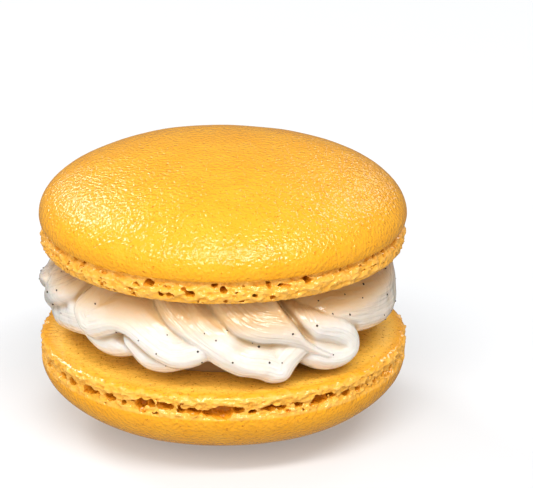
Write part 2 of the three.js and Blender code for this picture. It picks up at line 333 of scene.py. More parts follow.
def poreCutter(pores, form, sign):
    draw = random.Random(form["seed"])
    footRadius = max(r for r, _ in form["foot"][:shellForm["crestPoints"]])
    spots = [(angle, width, height, level, poreForm["depth"]) for angle, width, height, level in pores]
    groove = form["foot"][shellForm["groovePoint"]][1]
    angle = poreForm["hiddenFrom"]
    while angle < 360 - poreForm["hiddenFrom"]:
        width = draw.uniform(*poreForm["hiddenWidth"])
        height = draw.uniform(*poreForm["hiddenHeight"])
        level = groove - draw.uniform(0, poreForm["hiddenDrop"])
        spots.append((angle, width, height, level, poreForm["depth"]))
        angle += poreForm["hiddenEvery"] * draw.uniform(*poreForm["hiddenSpacing"])
    for _ in range(form["holes"]):
        size = draw.uniform(*poreForm["bubble"])
        angle = draw.uniform(0, 360)
        width = size * draw.uniform(1, poreForm["bubbleStretch"])
        level = draw.uniform(*form["holeLevels"])
        spots.append((angle, width, size * poreForm["bubbleHeight"], level, poreForm["bubbleDepth"]))
    made = []
    for angle, width, height, level, depth in spots:
        place = around(sign * angle, (footRadius - poreForm["inset"]) * mm, level * mm)
        turn = math.radians(sign * angle)
        clearSelection()
        bpy.ops.mesh.primitive_ico_sphere_add(subdivisions=3, radius=0.5 * mm, location=place,
                                              rotation=(0, 0, turn), scale=(width, 2 * depth, height))
        made.append(bpy.context.object)
    clearSelection()
    for piece in made:
        piece.select_set(True)
    bpy.context.view_layer.objects.active = made[0]
    bpy.ops.object.join()
    cutter = bpy.context.object
    bpy.ops.object.transform_apply(location=True, rotation=True, scale=True)
    weigh(cutter, "all", np.ones(len(cutter.data.vertices)))
    roughen(cutter, "all", "CLOUDS", poreForm["roughSize"], poreForm["roughness"])
    remesh = cutter.modifiers.new("one skin", "REMESH")
    remesh.mode = "VOXEL"
    remesh.voxel_size = poreForm["cell"] * mm
    applyModifier(cutter, remesh)
    return cutter


def cutPores(piece, cutter):
    cut = piece.modifiers.new("pores", "BOOLEAN")
    cut.operation = "DIFFERENCE"
    cut.solver = "MANIFOLD"
    cut.object = cutter
    applyModifier(piece, cut)
    bpy.data.objects.remove(cutter, do_unlink=True)


def markDepth(piece, form, outline):
    # How deep each point lies under the plain outline, how much of it is foot or flat face, and where the
    # dome's painted shade and the flat face's painted light go
    places = readPoints(piece) / mm
    radius = np.hypot(places[:, 0], places[:, 1])
    level = places[:, 2]
    starts = np.array(outline[:-1])
    ends = np.array(outline[1:])
    lines = ends - starts
    nearest = np.full(len(radius), 1e9)
    depth = np.zeros(len(radius))
    for start, line in zip(starts, lines):
        length = np.hypot(*line)
        if length == 0:
            continue
        along = np.clip(((radius - start[0]) * line[0] + (level - start[1]) * line[1]) / length ** 2, 0, 1)
        gapRadius = radius - start[0] - along * line[0]
        gapLevel = level - start[1] - along * line[1]
        gap = np.hypot(gapRadius, gapLevel)
        side = (gapLevel * line[0] - gapRadius * line[1]) / length  # positive inside
        closer = gap < nearest
        nearest[closer] = gap[closer]
        depth[closer] = np.sign(side[closer]) * gap[closer]
    writeAttribute(piece, "depth", depth)
    writeAttribute(piece, "footShare", tornShare(places, form))
    # Painted shade, darker low on the dome over the torn band
    writeAttribute(piece, "lowDomeShade", 1 - ramp(level, form["band"][1], form["band"][1] + shellForm["lowDomeShade"]))
    face = faceShare(level, form)
    writeAttribute(piece, "faceShare", face)
    # Painted light on the flat face, fading out towards the lip
    writeAttribute(piece, "faceFillLight", face * (1 - ramp(radius, *shellForm["pale"])))


def buildShell(form, pores, material):
    outline = shellOutline(form)
    piece = spinOutline(form["name"], outline, shellForm["sides"])
    shellWeights(piece, form)
    flat = shellForm["layering"]
    roughen(piece, "dome", "CLOUDS", shellForm["wobbleSize"], shellForm["wobble"])
    roughen(piece, "foot", "CLOUDS", shellForm["lumpSize"], shellForm["lump"], shellForm["lumpMiddle"],
            flat, noise_depth=shellForm["octaves"])
    roughen(piece, "foot", "MUSGRAVE", shellForm["strandSize"], shellForm["strand"], flat=flat,
            musgrave_type="RIDGED_MULTIFRACTAL", octaves=shellForm["octaves"],
            noise_intensity=shellForm["strandGain"])
    roughen(piece, "foot", "CLOUDS", shellForm["gritSize"], shellForm["grit"])
    roughen(piece, "face", "CLOUDS", shellForm["facePitSize"], shellForm["facePits"])
    sign = -1 if form["turnedOver"] else 1
    cutPores(piece, poreCutter(pores, form, sign))
    markDepth(piece, form, outline)
    makeActive(piece)
    if form["turnedOver"]:
        piece.rotation_euler = (0, math.pi, 0)
        piece.location = (0, 0, form["height"] * mm)
    else:
        piece.location = (0, 0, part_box(form["node"])[0][2])
    bpy.ops.object.transform_apply(location=True, rotation=True, scale=True)
    bpy.ops.object.shade_smooth()
    piece.data.materials.clear()
    piece.data.materials.append(material)
    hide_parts(form["node"])
    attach(piece, "root")
    print(form["node"], "has", countTriangles(piece), "triangles")


# The cream: piped folds that lap over one another. Points are degrees from the front and height over
# the lower shell in mm. A fold is rounded over at its lip, and its back goes in under the next one.
creamForm = {
    "sides": 900,
    "rowStep": 0.125,
    "middleRadius": 21,
    "clearance": 0.02,  # mm between the cream and each shell
    "core": (14.8, 16.6),  # radius at the foot and at the top
    "coreWidens": (3, 7),  # mm over the lower shell, where it goes from one to the other
    "endRing": 1,  # mm, width of the ring that closes the core's ends
    "lineSteps": 5,  # samples for each point of a fold's outline
    "round": 2.7,
    "depth": 3.4,
    "fallFrom": 1.5,  # mm from the lip, where a fold starts to fall back
    "fallOver": 6,
    "tuck": 2.2,  # mm that the folds go in below the upper shell
    "tuckLevels": (7.2, 11.4),
    "ridgeWidth": 0.8,
    "swell": 0.14,
    "swellSize": 2.4,
    "swellShift": 3.7,  # sets the swell of each fold apart from the next one's
    "thread": 0.075,  # mm, height of the lines that the nozzle leaves
    "threadSize": 0.75,
    "threadLength": 9,
    "threadShift": 5.3,
    "softening": 2,
    "crease": 1.1,  # how much deeper the creases are pressed than the folds alone make them
    "creaseBlur": 130,
    "seed": 7,
}
# How far the cream's colour goes to its painted shade colour: darker in the creases, the broad dips, the
# gaps between folds and under the upper shell, where shade falls. Blurs are in rounds of softening, depths
# in mm.
creamShadeAndThreads = {
    "nearBlur": 60,  # in the fine creases
    "nearDepth": 0.38,
    "near": 0.75,
    "wideBlur": 600,  # in the broad dips
    "wideDepth": 1.2,
    "wideStart": 0.25,
    "wide": 0.4,
    "gap": (16, 19.5),  # mm from the axis, in the gaps between the folds
    "underShellShade": 0.95,
    "underShellLevels": (6.2, 10.2),
    "seamBlur": 6,  # the threads fade out at the seams between folds
    "seamGain": 3,
    "lineShift": 20,  # sets the threads of each fold apart from the next one's
}
# Some folds take painted shade over their whole face, for folds that lie in shade
fold = {
    "radius": 22.4, "fall": 0.22, "foldShade": 0.08,
    "lip": [(-30, 13.7), (-29, 12.0), (-27, 10.2), (-24, 8.9), (-20, 7.7), (-16, 6.7), (-11, 5.3),
            (-6, 3.9), (0, 2.4), (5, 1.5), (9, 1.2), (12, 0.9), (15, 0.4), (18, 0.2), (21.5, 0.3),
            (24, 1.0), (26, 2.1), (29, 3.1)],
    "back": [(35, 4.0), (30, 6.8), (18, 10.6), (5, 14.0), (-13, 16.1)],
    "ridge": [(-12, 13.0), (-9.5, 11.4), (-5, 8.1), (0, 5.9), (6, 3.9), (12, 2.8)], "ridgeHeight": 0.4,
}
flap = {
    "radius": 22.5, "fall": 0.0, "foldShade": 0.17,
    "lip": [(-14, 13.3), (-10, 11.3), (-6, 9.7), (-2, 8.2), (4, 6.4), (10, 5.4), (17, 4.9),
            (22, 4.3), (27, 3.3), (33, 2.3), (40, 1.5)],
    "back": [(43, 3.0), (37, 3.7), (32, 4.8), (28, 6.1), (25, 7.8), (22, 9.5), (20, 10.9), (18, 12.8)],
    "backRound": 0.7,
    "ridge": [(35, 4.0), (30, 5.3), (26.5, 6.6), (23.5, 8.2), (20.5, 10.0), (18, 12)], "ridgeHeight": 0.45,
}
curl = {
    "radius": 22.3, "fall": 0.28,
    "lip": [(36, 9.0), (44, 7.8), (50, 6.0), (52.5, 3.9), (51.5, 2.0), (48, 0.9), (43, 0.4),
            (38, 0.5), (33, 1.0), (28, 2.0)],
    "back": [(25, 3.7), (24, 5.9), (21, 8.6), (17, 12.6), (23, 11.4), (29, 10.2)],
}
shownFolds = [
    {"radius": 21.3, "fall": 0.06,
     "lip": [(-102, 4.0), (-98, 1.5), (-93, 0.4), (-87, 0.3), (-80, 0.9), (-73, 1.4), (-66, 2.0),
             (-59, 2.5), (-52, 3.0)],
     "back": [(-44, 5), (-44, 9), (-60, 9.5), (-85, 8), (-100, 6.5)]},
    {"radius": 22.2, "fall": 0.15,
     "lip": [(-106, 6.0), (-104, 3.4), (-100, 1.9), (-94, 1.3), (-88, 1.9), (-82, 3.0), (-75, 4.0),
             (-68, 5.1), (-61, 6.5), (-55, 8.1), (-50, 10)],
     "back": [(-50, 13), (-70, 13.6), (-84, 13.2), (-97, 12.4), (-104, 9.5)]},
    {"radius": 22.8, "fall": 0.1,
     "lip": [(-126, 8), (-122, 5.0), (-114, 3.2), (-106, 2.5), (-99, 2.6), (-92, 3.6), (-84, 5.3),
             (-77, 7.0)],
     "back": [(-77, 9.0), (-88, 8.9), (-99, 8.5), (-112, 9)]},
    {"radius": 20.9, "fall": 0,
     "lip": [(-58, 4.6), (-56, 2.8), (-51, 1.9), (-47, 1.5), (-42, 1.4), (-37, 1.8), (-32, 2.6),
             (-30, 4.4)],
     "back": [(-37, 7), (-47, 7)]},
    {"radius": 21.1, "fall": 0.05,
     "lip": [(-40, 6.4), (-38, 4.4), (-34, 2.8), (-31, 1.8), (-27, 1.1), (-23, 0.9), (-19, 1.0),
             (-14, 1.5), (-9, 2.3)],
     "back": [(-5, 4.2), (-12, 7), (-25, 9)]},
    {"radius": 22.6, "fall": 0.3,
     "lip": [(-51, 13.4), (-53, 11.1), (-56, 9.6), (-57, 8.5), (-57, 7.3), (-56, 6.1), (-54, 5.0),
             (-51, 4.1), (-46, 3.8), (-42, 4.3), (-38, 5.0), (-35, 5.5), (-32, 5.3), (-29, 4.6),
             (-26, 3.9), (-23, 3.2), (-19, 2.6), (-16, 2.3), (-11, 2.4), (-6, 3.0)],
     "back": [(0, 4.9), (-2, 8.3), (-9, 11.8), (-20, 14.5), (-31, 16.1)]},
    fold, flap, curl,
    {"radius": 21.5, "fall": 0.14, "foldShade": 0.3,
     "lip": [(40, 4.6), (48, 4.0), (57, 3.3), (66, 2.7), (76, 2.2), (85, 2.3), (93, 3.0), (102, 4.4),
             (112, 7), (119, 10)],
     "back": [(116, 14), (80, 15.4), (30, 15), (17, 11.7), (25, 8.1)]},
    {"radius": 21.0, "fall": 0.08,
     "lip": [(88, 4.6), (93, 2.3), (99, 1.0), (106, 0.5), (113, 0.5), (120, 1.0), (127, 2.1), (133, 4.0)],
     "back": [(132, 8.5), (118, 11), (98, 8.5)]},
]
# Round the back the piping goes on in folds and flaps like those in front
hiddenFolds = {
    "count": 5,
    "first": 130,  # degrees from the front
    "step": 18,
    "wander": 2,
    "stretch": (0.92, 1.15),
    "reach": (-0.5, 0.1),  # mm
    "flapShift": -12,
}


def lineDistance(points, line):
    # How far each point is from the line, and how far along the line the nearest place is
    nearest = np.full(len(points), 1e9)
    along = np.zeros(len(points))
    run = 0
    for start, end in zip(line, line[1:]):
        step = end - start
        length = np.hypot(*step)
        share = np.clip((points - start) @ step / length ** 2, 0, 1)
        gap = np.hypot(*(points - start - share[:, None] * step).T)
        closer = gap < nearest
        nearest[closer] = gap[closer]
        along[closer] = run + share[closer] * length
        run += length
    return nearest, along


def isInside(points, outline):
    inside = np.zeros(len(points), dtype=bool)
    for (s0, h0), (s1, h1) in zip(outline, np.roll(outline, -1, axis=0)):
        if h0 == h1:
            continue
        spans = (h0 > points[:, 1]) != (h1 > points[:, 1])
        inside ^= spans & (points[:, 0] < s0 + (s1 - s0) * (points[:, 1] - h0) / (h1 - h0))
    return inside


def smoothLine(points, middle):
    # From degrees and height to mm along the cream's skin and height
    perDegree = math.radians(creamForm["middleRadius"])
    steps = creamForm["lineSteps"] * len(points)
    line = curveThrough([((a - middle) * perDegree, h, 0) for a, h in points], steps)
    return np.array([(p.x, p.y) for p in line])


def layFold(field, layers, form, number):
    # Raises the field wherever this fold stands out further than what is there
    middle = sum(a for a, _ in form["lip"]) / len(form["lip"])
    sides, rows = field.shape
    angles = (np.arange(sides) * 360 / sides - middle + 180) % 360 - 180
    heights = np.arange(rows) * creamForm["rowStep"]
    spread = max(abs(a - middle) for a, _ in form["lip"] + form["back"]) + 2  # degrees to spare
    columns = np.nonzero(np.abs(angles) < spread)[0]
    perDegree = math.radians(creamForm["middleRadius"])
    s, h = np.meshgrid(angles[columns] * perDegree, heights, indexing="ij")
    points = np.column_stack([s.ravel(), h.ravel()])
    lip, back = smoothLine(form["lip"], middle), smoothLine(form["back"], middle)
    outline = np.concatenate([lip, back])
    fromLip, run = lineDistance(points, lip)
    fromBack, _ = lineDistance(points, np.concatenate([lip[-1:], back, lip[:1]]))
    backRound = form.get("backRound", creamForm["round"])
    edge = np.minimum(fromLip, fromBack * creamForm["round"] / backRound)
    share = 1 - np.clip(edge / creamForm["round"], 0, 1)
    fallen = np.clip(fromLip - creamForm["fallFrom"], 0, creamForm["fallOver"])
    skin = form["radius"] - form["fall"] * fallen
    skin -= creamForm["depth"] * (1 - np.sqrt(1 - share ** 2))
    skin -= creamForm["tuck"] * ramp(points[:, 1], *creamForm["tuckLevels"])
    if "ridge" in form:
        fromRidge, _ = lineDistance(points, smoothLine(form["ridge"], middle))
        skin += form["ridgeHeight"] * np.exp(-(fromRidge / creamForm["ridgeWidth"]) ** 2)
    for k, (sideways, high) in enumerate(points):
        place = Vector((sideways, high, 0)) / creamForm["swellSize"]
        place.z = number * creamForm["swellShift"]
        line = Vector((fromLip[k] / creamForm["threadSize"], run[k] / creamForm["threadLength"],
                       number * creamForm["threadShift"]))
        skin[k] += creamForm["swell"] * noise.noise(place) + creamForm["thread"] * noise.noise(line)
    skin[~isInside(points, outline)] = 0
    skin = skin.reshape(s.shape)
    higher = skin > field[columns]
    field[columns] = np.where(higher, skin, field[columns])
    # Painted shade that the whole fold takes
    foldShade = np.full(len(run), form.get("foldShade", 0))
    across = fromLip + number * creamShadeAndThreads["lineShift"]
    for layer, value in zip(layers, (across, run, np.full(len(run), number), foldShade)):
        layer[columns] = np.where(higher, value.reshape(s.shape), layer[columns])


def hiddenFoldForms():
    draw = random.Random(creamForm["seed"])
    forms = []
    for k in range(hiddenFolds["count"]):
        wander = draw.uniform(-hiddenFolds["wander"], hiddenFolds["wander"])
        turn = hiddenFolds["first"] + k * hiddenFolds["step"] + wander
        stretch = draw.uniform(*hiddenFolds["stretch"])
        reach = draw.uniform(*hiddenFolds["reach"])
        source = flap if k % 2 else fold
        shift = turn + (hiddenFolds["flapShift"] if k % 2 else 0)
        form = dict(source, radius=source["radius"] + reach)
        for part in ("lip", "back", "ridge"):
            form[part] = [(shift + a * stretch, h) for a, h in source[part]]
        forms.append(form)
    return forms


def soften(field, times):
    # Blurs the field round the cream and up it
    for _ in range(times):
        field = (np.roll(field, 1, axis=0) + 2 * field + np.roll(field, -1, axis=0)) / 4
        padded = np.pad(field, ((0, 0), (1, 1)), mode="edge")
        field = (padded[:, :-2] + 2 * field + padded[:, 2:]) / 4
    return field


def buildCream(material):
    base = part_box("bottom_shell")[1][2] / mm + creamForm["clearance"]
    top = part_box("top_shell")[0][2] / mm - creamForm["clearance"]
    rows = round((top - base) / creamForm["rowStep"]) + 1
    step = (top - base) / (rows - 1)
    low, high = creamForm["core"]
    core = low + (high - low) * ramp(np.arange(rows) * step, *creamForm["coreWidens"])
    field = np.tile(core, (creamForm["sides"], 1))
    layers = [np.zeros_like(field) for _ in range(4)]
    for number, form in enumerate(shownFolds + hiddenFoldForms()):
        layFold(field, layers, form, number + 1)
    across, along, owner, foldShade = layers
    seam = (owner != np.roll(owner, 1, axis=0)) | (owner != np.roll(owner, 1, axis=1))
    calm = 1 - np.clip(soften(seam.astype(float), creamShadeAndThreads["seamBlur"]) * creamShadeAndThreads["seamGain"], 0, 1)
    field = soften(field, creamForm["softening"])
    field -= creamForm["crease"] * np.clip(soften(field, creamForm["creaseBlur"]) - field, 0, 1)
    field = np.maximum(soften(field, creamForm["softening"]), low)
    # Painted shade: the cream's colour darkens in the fine creases, the broad dips, the deep gaps between
    # folds and on folds that lie in shade
    nearby = soften(field, creamShadeAndThreads["nearBlur"])
    near = np.clip((nearby - field) / creamShadeAndThreads["nearDepth"], 0, 1)
    dip = (soften(field, creamShadeAndThreads["wideBlur"]) - field) / creamShadeAndThreads["wideDepth"]
    wide = np.clip(dip - creamShadeAndThreads["wideStart"], 0, 1)
    deep = 1 - ramp(nearby, *creamShadeAndThreads["gap"])
    paintedShade = creamShadeAndThreads["near"] * near + creamShadeAndThreads["wide"] * wide + deep
    paintedShade += soften(foldShade, creamShadeAndThreads["nearBlur"])
    print("folds are laid")

    ring = low - creamForm["endRing"]
    outline = [(0, base), (ring, base)] + [(low, base + k * step) for k in range(rows)]
    outline += [(ring, top), (0, top)]
    cream = spinOutline("Cream", outline, creamForm["sides"])
    places = readPoints(cream) / mm
    radius = np.hypot(places[:, 0], places[:, 1])
    turn = np.degrees(np.arctan2(places[:, 0], -places[:, 1])) % 360
    column = np.round(turn * creamForm["sides"] / 360).astype(int) % creamForm["sides"]
    row = np.clip(np.round((places[:, 2] - base) / step).astype(int), 0, rows - 1)
    wall = radius > (low + ring) / 2
    scale = np.where(wall, field[column, row] / np.maximum(radius, 1), 1)
    places[:, :2] *= scale[:, None]
    cream.data.vertices.foreach_set("co", (places * mm).astype(np.float32).ravel())
    cream.data.update()
    writeAttribute(cream, "across", across[column, row])
    writeAttribute(cream, "along", along[column, row])
    writeAttribute(cream, "calm", calm[column, row])
    # Painted shade under the upper shell, stronger towards the top
    underShellShade = ramp(places[:, 2] - base, *creamShadeAndThreads["underShellLevels"])
    writeAttribute(cream, "paintedShade", paintedShade[column, row] + creamShadeAndThreads["underShellShade"] * underShellShade)
    makeActive(cream)
    bpy.ops.object.shade_smooth()
    cream.data.materials.clear()
    cream.data.materials.append(material)
    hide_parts("cream")
    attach(cream, "root")
    print("cream has", countTriangles(cream), "triangles")
    return cream


# Vanilla specks that show, as degrees from the front and height over the lower shell, and how many more
shownSpecks = [(-45, 8.9), (-35, 6.4), (-26, 6.2), (-20, 4.9), (-18, 3.0), (-17, 7.2), (-7, 5.6), (-6, 4.0),
               (-5, 7.9), (-1.5, 7.1), (2, 8.0), (3.5, 4.4), (10, 6.3), (12, 5.8), (15, 3.9), (19, 3.7),
               (22, 7.4), (31, 7.6), (37, 3.4), (36, 9.6), (39, 8.1), (48, 9.4), (54, 10.1), (55, 8.4),
               (60, 9.4), (46, 7.4)]
speckForm = {
    "size": (0.1, 0.17),
    "stretch": (0.7, 1.3),
    "turn": 6.3,  # radians, the most that a speck is turned about each axis
    "sink": 0.15,  # share of its size that a speck is sunk in
    "castFrom": 30,  # mm from the axis, outside the cream
    "hidden": 70,
    "hiddenTurn": (66, 294),
    "hiddenHeight": (1.5, 10.5),
    "leastRadius": 15,  # mm from the axis, deeper than which a speck would not show
    "seed": 21,
}


def buildSpecks(cream, material):
    draw = random.Random(speckForm["seed"])
    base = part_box("bottom_shell")[1][2] / mm
    spots = list(shownSpecks)
    spots += [(draw.uniform(*speckForm["hiddenTurn"]), draw.uniform(*speckForm["hiddenHeight"]))
              for _ in range(speckForm["hidden"])]
    tree = BVHTree.FromObject(cream, bpy.context.evaluated_depsgraph_get())
    made = []
    for angle, height in spots:
        start = around(angle, speckForm["castFrom"] * mm, (base + height) * mm)
        inward = Vector((-start.x, -start.y, 0)).normalized()
        place, normal, _, _ = tree.ray_cast(start, inward)
        if place is None or Vector((place.x, place.y, 0)).length < speckForm["leastRadius"] * mm:
            continue
        size = draw.uniform(*speckForm["size"]) * mm
        place = place - normal * size * speckForm["sink"]
        stretch = [draw.uniform(*speckForm["stretch"]) for _ in range(3)]
        turn = [draw.uniform(0, speckForm["turn"]) for _ in range(3)]
        clearSelection()
        bpy.ops.mesh.primitive_ico_sphere_add(subdivisions=1, radius=size, location=place, rotation=turn,
                                              scale=stretch)
        made.append(bpy.context.object)
    clearSelection()
    for piece in made:
        piece.select_set(True)
    bpy.context.view_layer.objects.active = made[0]
    bpy.ops.object.join()
    specks = bpy.context.object
    specks.name = specks.data.name = "VanillaSpecks"
    bpy.ops.object.transform_apply(location=True, rotation=True, scale=True)
    bpy.ops.object.shade_smooth()
    specks.data.materials.clear()
    specks.data.materials.append(material)
    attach(specks, "root")
    print(len(made), "specks")


# Materials

def startMaterial(name):
    material = bpy.data.materials.new(name)
    material.use_nodes = True
    tree = material.node_tree
    return material, tree, tree.nodes["Principled BSDF"]


def node(tree, kind, values=(), **settings):
    made = tree.nodes.new(kind)
    for key, value in settings.items():
        setattr(made, key, value)
    for key, value in dict(values).items():
        made.inputs[key].default_value = value
    return made


def plug(tree, source, target):
    tree.links.new(source, target)


def grainGroup():
    # Noise by a feature size in mm, as a mask from 0 to 1
    group = bpy.data.node_groups.new("grain", "ShaderNodeTree")
    for name, value in (("Size", 1.0), ("Detail", 2.0), ("Low", 0.35), ("High", 0.65), ("Roughness", 0.6)):
        socket = group.interface.new_socket(name, in_out="INPUT", socket_type="NodeSocketFloat")
        socket.default_value = value
    group.interface.new_socket("Mask", in_out="OUTPUT", socket_type="NodeSocketFloat")
    source = group.nodes.new("NodeGroupInput")
    target = group.nodes.new("NodeGroupOutput")
    place = node(group, "ShaderNodeTexCoord")
    scale = node(group, "ShaderNodeMath", {0: 1 / mm}, operation="DIVIDE")
    noiseNode = node(group, "ShaderNodeTexNoise")
    spread = node(group, "ShaderNodeMapRange")
    plug(group, source.outputs["Size"], scale.inputs[1])
    plug(group, place.outputs["Object"], noiseNode.inputs["Vector"])
    plug(group, scale.outputs[0], noiseNode.inputs["Scale"])
    plug(group, source.outputs["Detail"], noiseNode.inputs["Detail"])
    plug(group, source.outputs["Roughness"], noiseNode.inputs["Roughness"])
    plug(group, noiseNode.outputs["Fac"], spread.inputs["Value"])
    plug(group, source.outputs["Low"], spread.inputs["From Min"])
    plug(group, source.outputs["High"], spread.inputs["From Max"])
    plug(group, spread.outputs["Result"], target.inputs["Mask"])
    return group


def grain(tree, group, size, detail=2.0, low=0.35, high=0.65, roughness=0.6):
    made = node(tree, "ShaderNodeGroup", node_tree=group)
    values = {"Size": size, "Detail": detail, "Low": low, "High": high, "Roughness": roughness}
    for key, value in values.items():
        made.inputs[key].default_value = value
    return made.outputs["Mask"]


def blendColour(tree, mask, low, high):
    made = node(tree, "ShaderNodeMix", data_type="RGBA")
    plug(tree, mask, made.inputs["Factor"])
    for value, socket in ((low, made.inputs[6]), (high, made.inputs[7])):
        if isinstance(value, tuple):
            socket.default_value = (*value, 1)
        else:
            plug(tree, value, socket)
    return made.outputs[2]


def readAttribute(tree, name, low, high):
    source = node(tree, "ShaderNodeAttribute", attribute_name=name)
    spread = node(tree, "ShaderNodeMapRange", {"From Min": low, "From Max": high})
    plug(tree, source.outputs["Fac"], spread.inputs["Value"])
    return spread.outputs["Result"]


def addUp(tree, parts):
    # A weighted sum of heights
    total = None
    for socket, weight in parts:
        scaled = node(tree, "ShaderNodeMath", {1: weight}, operation="MULTIPLY")
        plug(tree, socket, scaled.inputs[0])
        if total is None:
            total = scaled.outputs[0]
            continue
        both = node(tree, "ShaderNodeMath", operation="ADD")
        plug(tree, total, both.inputs[0])
        plug(tree, scaled.outputs[0], both.inputs[1])
        total = both.outputs[0]
    return total


# Grains are size in mm, detail, then where the mask starts and is full, and roughness
crustLook = {
    "gold": (0.80, 0.372, 0.02),
    "amber": (0.775, 0.335, 0.013),
    # the flat face's lighter colour away from the lip, painted light in the shade of the cream and the
    # upper shell
    "face": (0.99, 0.55, 0.075),
    "lowDomeShade": (0.76, 0.31, 0.006),  # painted shade, darker low on the dome over the torn band
    "pinhole": (0.55, 0.18, 0.003),
    "crumbColourAndShade": [(-0.3, (0.84, 0.465, 0.11)), (0.12, (0.82, 0.39, 0.045)), (0.5, (0.74, 0.29, 0.013)),
              (1.2, (0.53, 0.17, 0.005))],  # colours of the torn band by mm of depth: lighter on the crests, and painted shade darker down in the cavities
    "lowDomeShadeFade": (0, 1.8),
    "tornFade": (0.1, 0.6),
    "paintedShadeFade": (0.35, 0.8),  # mm of depth over which a cavity takes the crumb's darker colours, painted shade
    "patchGrain": (3.2, 4),
    "pinholeGrain": (0.4, 2, 0.63, 0.72),
    "pitGrain": (0.36, 2, 0.6, 0.8),
    "glossGrain": (1.1, 3),
    "wrinkleGrain": (0.42, 1, 0.2, 0.8, 0.4),
    "roughness": (0.1, 0.2),
    "shine": 0.64,
    "wrinkle": 0.135,  # mm
    "wrinkleFade": (1.25, 0),  # by the share of flat face
    "pit": 0.12,
}


def crustMaterial(group):
    material, tree, shader = startMaterial("almondCrust")
    patches = grain(tree, group, *crustLook["patchGrain"])
    skin = blendColour(tree, patches, crustLook["amber"], crustLook["gold"])
    # Painted shade: the dome goes darker amber low down, over the torn band
    low = readAttribute(tree, "lowDomeShade", *crustLook["lowDomeShadeFade"])
    skin = blendColour(tree, low, skin, crustLook["lowDomeShade"])
    face = readAttribute(tree, "faceShare", 0, 1)
    # Painted light: the flat face is lighter away from the lip, where the cream and the upper shell shade
    # it
    skin = blendColour(tree, readAttribute(tree, "faceFillLight", 0, 1), skin, crustLook["face"])
    pinholes = grain(tree, group, *crustLook["pinholeGrain"])
    skin = blendColour(tree, pinholes, skin, crustLook["pinhole"])
    # The torn band's colour by depth, painted lighter on its crests and darker in its cavities for the
    # light and shade there
    deepest, shallowest = crustLook["crumbColourAndShade"][-1][0], crustLook["crumbColourAndShade"][0][0]
    crumbColourAndShade = node(tree, "ShaderNodeValToRGB")
    stops = crumbColourAndShade.color_ramp.elements
    for depth, colour in crustLook["crumbColourAndShade"][1:-1]:
        stops.new((depth - shallowest) / (deepest - shallowest))
    for stop, (_, colour) in zip(stops, crustLook["crumbColourAndShade"]):
        stop.color = (*colour, 1)
    plug(tree, readAttribute(tree, "depth", shallowest, deepest), crumbColourAndShade.inputs["Fac"])
    torn = readAttribute(tree, "footShare", *crustLook["tornFade"])
    colour = blendColour(tree, torn, skin, crumbColourAndShade.outputs["Color"])
    # Painted shade: cavities below the outline go to the darker crumb colours
    paintedShade = readAttribute(tree, "depth", *crustLook["paintedShadeFade"])
    colour = blendColour(tree, paintedShade, colour, crumbColourAndShade.outputs["Color"])
    pits = node(tree, "ShaderNodeMath", operation="MULTIPLY")
    plug(tree, face, pits.inputs[0])
    plug(tree, grain(tree, group, *crustLook["pitGrain"]), pits.inputs[1])
    colour = blendColour(tree, pits.outputs[0], colour, crustLook["pinhole"])
    plug(tree, colour, shader.inputs["Base Color"])
    gloss = node(tree, "ShaderNodeMapRange", {"To Min": crustLook["roughness"][0],
                                              "To Max": crustLook["roughness"][1]})
    plug(tree, grain(tree, group, *crustLook["glossGrain"]), gloss.inputs["Value"])
    plug(tree, gloss.outputs["Result"], shader.inputs["Roughness"])
    shader.inputs["Specular IOR Level"].default_value = crustLook["shine"]
    smooth = readAttribute(tree, "faceShare", *crustLook["wrinkleFade"])
    wrinkle = node(tree, "ShaderNodeMath", operation="MULTIPLY")
    plug(tree, smooth, wrinkle.inputs[0])
    plug(tree, grain(tree, group, *crustLook["wrinkleGrain"]), wrinkle.inputs[1])
    height = addUp(tree, [(wrinkle.outputs[0], crustLook["wrinkle"]), (pits.outputs[0], -crustLook["pit"])])
    bump = node(tree, "ShaderNodeBump", {"Strength": 1.0, "Distance": mm})
    plug(tree, height, bump.inputs["Height"])
    plug(tree, bump.outputs["Normal"], shader.inputs["Normal"])
    return material


creamLook = {
    "milk": (0.74, 0.70, 0.64),
    "warm": (0.71, 0.65, 0.57),
    # painted shade colour, where the cream lies in shade
    "paintedShade": (0.54, 0.345, 0.165),
    "paintedShadeFade": (0.05, 0.95),
    "patchGrain": (4, 3),
    "roughness": 0.17,
    "shine": 0.65,
    "thread": 0.17,  # mm
    "threadScale": 2.6,  # lines per mm across a fold
    "threadDrawn": 0.07,  # their width as a share of their length
    "dimpleGrain": (0.9, 1, 0, 1),
    "dimple": 0.5,
    "glow": 0.5,  # share of the light that goes in under the skin
    "glowReach": (1.0, 0.6, 0.35),
    "glowScale": 0.7,  # mm
}


